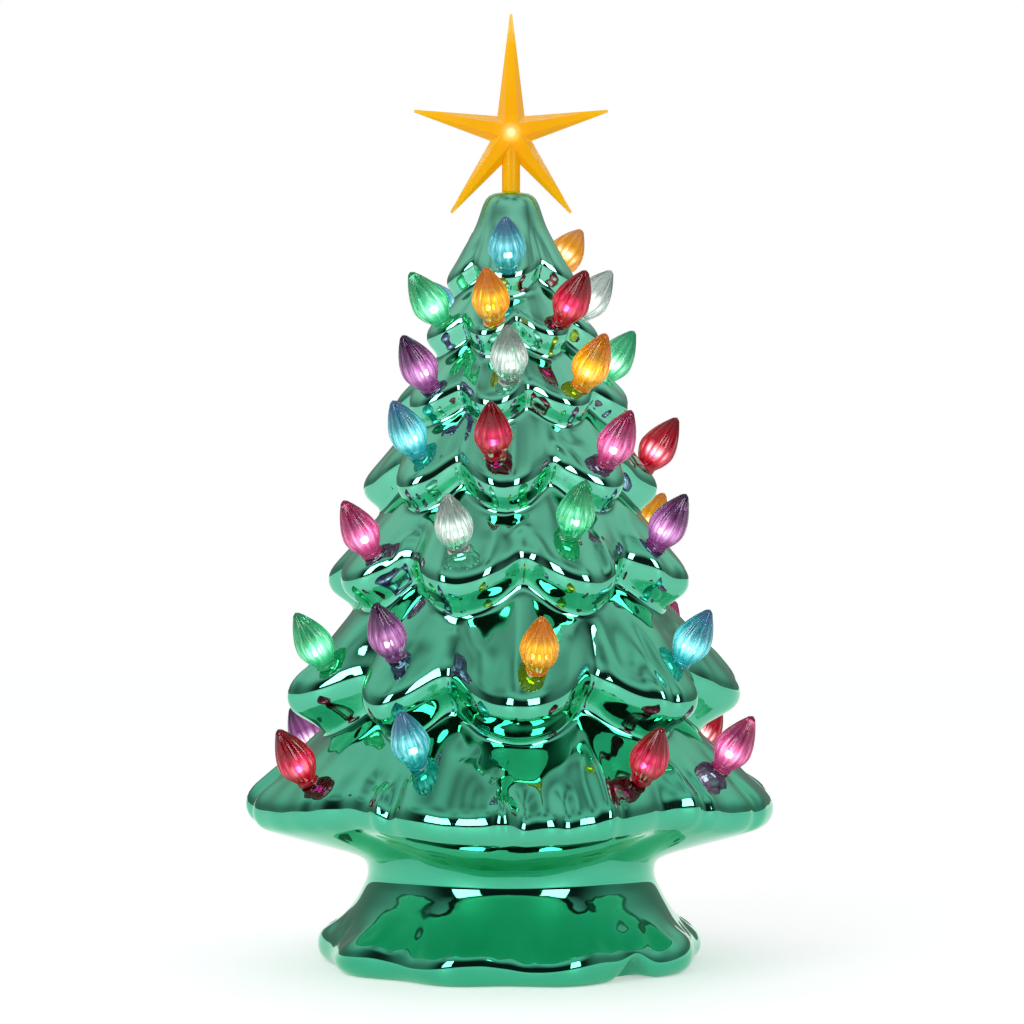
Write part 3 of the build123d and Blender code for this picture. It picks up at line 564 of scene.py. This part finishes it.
def star_face(front):
    """One face of the star. Each ray is four lines drawn out to its tip, an edge, two ridges and an edge,
    with flat facets between them, and the five pairs of ridges meet in a flat middle."""
    points, faces = [], []
    for number, turn in enumerate(RAY_TURNS):
        tip = RAY_REACH[number] * np.array([np.sin(turn), np.cos(turn)])
        aside = np.array([np.cos(turn), -np.sin(turn)])
        for share, half, width in ((1.0, EDGE_HALF, 1.0), (RIDGE_SHARE, STAR_HALF, 0.5)):
            for hand, notch_turn in ((-1, between_turns[number - 1]), (1, between_turns[number])):
                notch = share * NOTCH_REACH * np.array([np.sin(notch_turn), np.cos(notch_turn)])
                flat = notch + out * (tip + hand * width * TIP_WIDTH * aside - notch)
                depth = -front * (half + (width * TIP_HALF - half) * out)
                points.append(np.concatenate([flat[:, :1], depth, flat[:, 1:]], axis=-1))
        first = RAY_POINTS * number + np.arange(RAY_STEPS)
        edge_left, edge_right, ridge_left, ridge_right = (first + RAY_STEPS * k for k in range(4))
        for one, two in ((edge_left, ridge_left), (ridge_left, ridge_right), (ridge_right, edge_right)):
            quads = np.stack([one[:-1], two[:-1], two[1:], one[1:]], axis=-1)
            faces += (quads[:, ::-1] if front > 0 else quads).tolist()
    middle = [RAY_POINTS * number + 3 * RAY_STEPS for number in range(len(RAY_TURNS))]
    faces.append(middle[::-1] if front > 0 else middle)
    return np.concatenate(points), faces


star_points, star_faces = [], []
for front in (1, -1):
    face_points, face_faces = star_face(front)
    first = sum(len(group) for group in star_points)
    star_points.append(STAR_CENTRE + MM * face_points)
    star_faces += [[first + corner for corner in face] for face in face_faces]
# The rim between the two faces, and the end of each ray
half_count = len(star_points[0])
for number in range(len(RAY_TURNS)):
    lines = [RAY_POINTS * number + RAY_STEPS * k + np.arange(RAY_STEPS) for k in range(4)]
    for edge, turned_over in ((lines[0], True), (lines[1], False)):
        quads = np.stack([edge[:-1], edge[1:], edge[1:] + half_count, edge[:-1] + half_count], axis=-1)
        star_faces += (quads[:, ::-1] if turned_over else quads).tolist()
    ends = [int(line[-1]) for line in lines]
    round_tip = [ends[0], ends[2], ends[3], ends[1]]
    star_faces.append(round_tip + [end + half_count for end in round_tip[::-1]])
stem_along = np.array([PEG_END, -13.6, -0.2, 0.0, 0.0, 0.4, 21.0, 23.5])
stem_radius = np.array([2.5, 2.9, 2.9, 2.9, 3.4, 3.65, 3.65, 2.6])
stem = lathe(round_about(stem_radius, STEM_SIDES), stem_along, (PEG_END, STEM_TOP), STEM_FOOT, STEM_AXIS)
stem_faces = capped(len(stem_along), STEM_SIDES, 2 * half_count)
star = skin("amber_star", np.concatenate(star_points + [stem]), star_faces + stem_faces)
star.data.set_sharp_from_angle(angle=np.radians(10))

amber, tree, shader = base("amber_star_plastic")
shader.inputs["Transmission Weight"].default_value = 0.25
shader.inputs["Roughness"].default_value = 0.25
shader.inputs["IOR"].default_value = 1.3
shader.inputs["Specular IOR Level"].default_value = 0.2
shader.inputs["Emission Strength"].default_value = 0.08
place = tree.nodes.new("ShaderNodeTexCoord")
middle = tree.nodes.new("ShaderNodeVectorMath")
middle.operation = "DISTANCE"
middle.inputs[1].default_value = tuple(STAR_CENTRE)
tree.links.new(place.outputs["Object"], middle.inputs[0])
reach = tree.nodes.new("ShaderNodeMapRange")
reach.inputs["From Max"].default_value = 0.05
tree.links.new(middle.outputs["Value"], reach.inputs["Value"])
body = ramp(tree, reach.outputs["Result"], (0.0, (0.97, 0.48, 0.0)), (0.3, (0.97, 0.5, 0.0)),
            (0.7, (0.98, 0.56, 0.0)), (1.0, (1.0, 0.72, 0.2)))
tree.links.new(body.outputs["Color"], shader.inputs["Base Color"])
lit = ramp(tree, reach.outputs["Result"], (0.09, (9.0, 8.6, 7.6)), (0.1, (4.0, 3.0, 1.6)),
           (0.125, (1.5, 0.75, 0.05)), (0.18, (0.85, 0.42, 0.0)), (1.0, (1.0, 0.6, 0.0)))
tree.links.new(lit.outputs["Color"], shader.inputs["Emission Color"])
star.data.materials.append(amber)
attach(star, "star")
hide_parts("star_topper")


# Light unit: a moulded housing with a hinged battery door and a slide switch, held up in the foot's recess
# on a foam ring. Its parts are the CAD's own solids with moulded, metal and board finishes.
def grained_group():
    """Fine moulded grain: a colour between two shades, a roughness and a bump height from one noise."""
    group = bpy.data.node_groups.new("moulded_grain", "ShaderNodeTree")
    colour, value = "NodeSocketColor", "NodeSocketFloat"
    for label, kind in (("Dark", colour), ("Light", colour), ("Scale", value)):
        group.interface.new_socket(label, in_out="INPUT", socket_type=kind)
    for label, kind in (("Color", colour), ("Roughness", value), ("Height", value)):
        group.interface.new_socket(label, in_out="OUTPUT", socket_type=kind)
    given, put = group.nodes.new("NodeGroupInput"), group.nodes.new("NodeGroupOutput")
    grain = speckle(group, 1.0)
    group.links.new(given.outputs["Scale"], grain.inputs["Scale"])
    mix = group.nodes.new("ShaderNodeMix")
    mix.data_type = "RGBA"
    group.links.new(grain.outputs["Fac"], mix.inputs["Factor"])
    group.links.new(given.outputs["Dark"], mix.inputs["A"])
    group.links.new(given.outputs["Light"], mix.inputs["B"])
    group.links.new(mix.outputs["Result"], put.inputs["Color"])
    rough = group.nodes.new("ShaderNodeMapRange")
    rough.inputs["To Min"].default_value = 0.35
    rough.inputs["To Max"].default_value = 0.65
    group.links.new(grain.outputs["Fac"], rough.inputs["Value"])
    group.links.new(rough.outputs["Result"], put.inputs["Roughness"])
    group.links.new(grain.outputs["Fac"], put.inputs["Height"])
    return group


moulded_grain = grained_group()


def grained(name, dark, light, scale, metallic=0.0, depth=0.0002):
    """A material with the shared grain, in two shades."""
    material, tree, shader = base(name)
    grain = tree.nodes.new("ShaderNodeGroup")
    grain.node_tree = moulded_grain
    grain.inputs["Dark"].default_value = (*dark, 1.0)
    grain.inputs["Light"].default_value = (*light, 1.0)
    grain.inputs["Scale"].default_value = scale
    bump = tree.nodes.new("ShaderNodeBump")
    bump.inputs["Strength"].default_value = 0.25
    bump.inputs["Distance"].default_value = depth
    shader.inputs["Metallic"].default_value = metallic
    tree.links.new(grain.outputs["Color"], shader.inputs["Base Color"])
    tree.links.new(grain.outputs["Roughness"], shader.inputs["Roughness"])
    tree.links.new(grain.outputs["Height"], bump.inputs["Height"])
    tree.links.new(bump.outputs["Normal"], shader.inputs["Normal"])
    return material


housing_finish = grained("housing_plastic", (0.02, 0.09, 0.055), (0.035, 0.13, 0.08), 1500.0)
steel_finish = grained(
    "plated_steel", (0.55, 0.55, 0.53), (0.75, 0.74, 0.71), 700.0, metallic=1.0, depth=0.00005
)
unit_finishes = {
    "light_housing": housing_finish,
    "battery_door": housing_finish,
    "housing_gasket": grained(
        "gasket_foam", (0.015, 0.015, 0.015), (0.05, 0.05, 0.05), 2200.0, depth=0.0006
    ),
    "battery_cells": grained("cell_wrap", (0.05, 0.05, 0.055), (0.1, 0.1, 0.11), 500.0, metallic=0.4),
    "contact_springs": steel_finish,
    "battery_contacts": steel_finish,
    "board_screws": steel_finish,
    "switch_case": grained("switch_body", (0.02, 0.02, 0.02), (0.04, 0.04, 0.04), 1800.0),
    "switch_slider": grained("switch_knob", (0.55, 0.54, 0.5), (0.68, 0.67, 0.63), 1800.0),
    "circuit_board": grained("solder_resist", (0.01, 0.12, 0.04), (0.02, 0.18, 0.06), 400.0),
    "led_lamps": grained("lamp_resin", (0.85, 0.82, 0.7), (0.95, 0.93, 0.85), 300.0),
}
for node, finish in unit_finishes.items():
    nodes[node].data.materials.clear()
    nodes[node].data.materials.append(finish)


# Studio: a white sweep under an even white surround, with two softboxes in front in a dark stretch of room,
# which is what the plating mirrors. None of it is part of the tree.
PANEL_COLUMNS, PANEL_ROWS = 121, 61
ROOM_MIDDLE = np.array([0, 0, 0.15])
ROOM_DISTANCE, SOFTBOX_DISTANCE = 3.0, 2.8
SOFTBOX_GLOW = 8.0
ROOM_DARK, ROOM_PALE, ROOM_DIM = 0.02, 0.8, 0.58
# Azimuth, elevation, size and depth of each dim patch of the ceiling
DIM_PATCHES = (
    (-38, 70, 10, 0.6), (24, 66, 9, 0.7), (75, 74, 10, 0.6), (-100, 70, 11, 0.6),
    (160, 76, 11, 0.65), (-160, 62, 10, 0.55), (-75, 48, 8, 0.5), (80, 50, 8, 0.5),
)
FLOOR_HALF = 6
FLOOR_DROP = 0.0001

room_light = bpy.data.materials.new("room_light")
room_light.use_nodes = True
tree = room_light.node_tree
tree.nodes.clear()
shine, output = tree.nodes.new("ShaderNodeEmission"), tree.nodes.new("ShaderNodeOutputMaterial")
strength = tree.nodes.new("ShaderNodeAttribute")
strength.attribute_name = "shade"
tree.links.new(strength.outputs["Fac"], shine.inputs["Strength"])
tree.links.new(shine.outputs["Emission"], output.inputs["Surface"])


def surround(name, azimuths, elevations, distance, shade):
    """A panel on a sphere about the tree, between two azimuths and two elevations, glowing as shade gives
    for each of its points. Only mirrored rays see it."""
    turn, lift = np.meshgrid(np.linspace(*azimuths, PANEL_COLUMNS), np.linspace(*elevations, PANEL_ROWS))
    around, up = np.radians(turn), np.radians(lift)
    outwards = np.stack([np.cos(up) * np.sin(around), -np.cos(up) * np.cos(around), np.sin(up)], axis=-1)
    corner = np.arange(PANEL_ROWS - 1)[:, None] * PANEL_COLUMNS + np.arange(PANEL_COLUMNS - 1)[None, :]
    above = corner + PANEL_COLUMNS
    faces = np.stack([corner, corner + 1, above + 1, above], axis=-1).reshape(-1, 4)
    panel = skin(name, distance * outwards + ROOM_MIDDLE, faces)
    shades = np.broadcast_to(shade(turn, lift), turn.shape).astype(np.float32).ravel()
    panel.data.attributes.new("shade", "FLOAT", "POINT").data.foreach_set("value", shades)
    panel.data.materials.append(room_light)
    panel.visible_camera = panel.visible_diffuse = panel.visible_transmission = panel.visible_shadow = False


def room(turn, lift):
    """Shade of the room: dark in front up to a soft ceiling edge, dim low down behind and pale overhead,
    with patches dimmed by Gaussians."""
    front = 1 - ease(52, 112, np.abs(turn))
    ceiling = ease(27, 50, lift + 3 * np.sin(np.radians(3 * turn + 20)))
    pale = ROOM_PALE - ROOM_DIM * (1 - ease(8, 45, lift)) * (1 - front)
    shade = ROOM_DARK + (pale - ROOM_DARK) * np.maximum(ceiling, 1 - front)
    for patch_turn, patch_lift, size, depth in DIM_PATCHES:
        aside = aside_of(turn, patch_turn) * np.cos(np.radians(patch_lift))
        shade = shade * (1 - depth * np.exp(-(aside**2 + (lift - patch_lift) ** 2) / size**2))
    return shade


def softbox(turn, lift):
    """The same shade all over a softbox."""
    return SOFTBOX_GLOW


surround("room", (-180, 180), (0.5, 89.9), ROOM_DISTANCE, room)
for side in (-1, 1):
    surround(f"softbox_{side + 1}", (side * 25, side * 47), (8, 36), SOFTBOX_DISTANCE, softbox)

# The sweep lies a hair under the foot, so that the two faces don't fight for one plane
floor_corners = FLOOR_HALF * np.array([(-1, -1, 0), (1, -1, 0), (1, 1, 0), (-1, 1, 0)]) - (0, 0, FLOOR_DROP)
floor = skin("floor", floor_corners, [[0, 1, 2, 3]])
sweep, tree, shader = base("white_sweep")
shader.inputs["Base Color"].default_value = (0.82, 0.84, 0.84, 1.0)
shader.inputs["Roughness"].default_value = 0.6
shader.inputs["Emission Color"].default_value = (1.0, 1.0, 1.0, 1.0)
path = tree.nodes.new("ShaderNodeLightPath")
seen, mirrored = tree.nodes.new("ShaderNodeMath"), tree.nodes.new("ShaderNodeMath")
seen.operation, mirrored.operation = "MULTIPLY", "MULTIPLY_ADD"
seen.inputs[1].default_value, mirrored.inputs[1].default_value = 0.42, 0.33
tree.links.new(path.outputs["Is Camera Ray"], seen.inputs[0])
tree.links.new(path.outputs["Is Glossy Ray"], mirrored.inputs[0])
tree.links.new(seen.outputs["Value"], mirrored.inputs[2])
tree.links.new(mirrored.outputs["Value"], shader.inputs["Emission Strength"])
floor.data.materials.append(sweep)

key = bpy.data.objects.new("key_light", bpy.data.lights.new("key_light", "AREA"))
key.data.size = 0.9
key.data.energy = 5.5
key.location = (-0.8, -1.15, 1.0)
key.rotation_euler = (np.radians(58), 0.0, np.radians(-35))
key.visible_glossy = False
bpy.context.scene.collection.objects.link(key)

# The surround is white to the eye and in mirrors and lenses, and a little weaker as a light
world = bpy.data.worlds.new("white_surround")
bpy.context.scene.world = world
world.use_nodes = True
tree = world.node_tree
path = tree.nodes.new("ShaderNodeLightPath")
seen, mirrored = tree.nodes.new("ShaderNodeMath"), tree.nodes.new("ShaderNodeMath")
seen.operation = mirrored.operation = "MAXIMUM"
tree.links.new(path.outputs["Is Glossy Ray"], mirrored.inputs[0])
tree.links.new(path.outputs["Is Transmission Ray"], mirrored.inputs[1])
tree.links.new(path.outputs["Is Camera Ray"], seen.inputs[0])
tree.links.new(mirrored.outputs["Value"], seen.inputs[1])
glow = tree.nodes.new("ShaderNodeMapRange")
glow.inputs["To Min"].default_value = 0.72
glow.inputs["To Max"].default_value = 1.0
tree.links.new(seen.outputs["Value"], glow.inputs["Value"])
tree.links.new(glow.outputs["Result"], tree.nodes["Background"].inputs["Strength"])
tree.nodes["Background"].inputs["Color"].default_value = (1.0, 1.0, 1.0, 1.0)

camera = bpy.data.objects.new("front_camera", bpy.data.cameras.new("front_camera"))
camera.data.lens = 113.6
camera.data.sensor_width = 36.0
camera.data.clip_end = 50.0
camera.location = (0.0004, -1.3, 0.1807)
camera.rotation_euler = (np.pi / 2, 0.0, 0.0)
bpy.context.scene.collection.objects.link(camera)
bpy.context.scene.camera = camera
bpy.context.scene.view_settings.view_transform = "Standard"
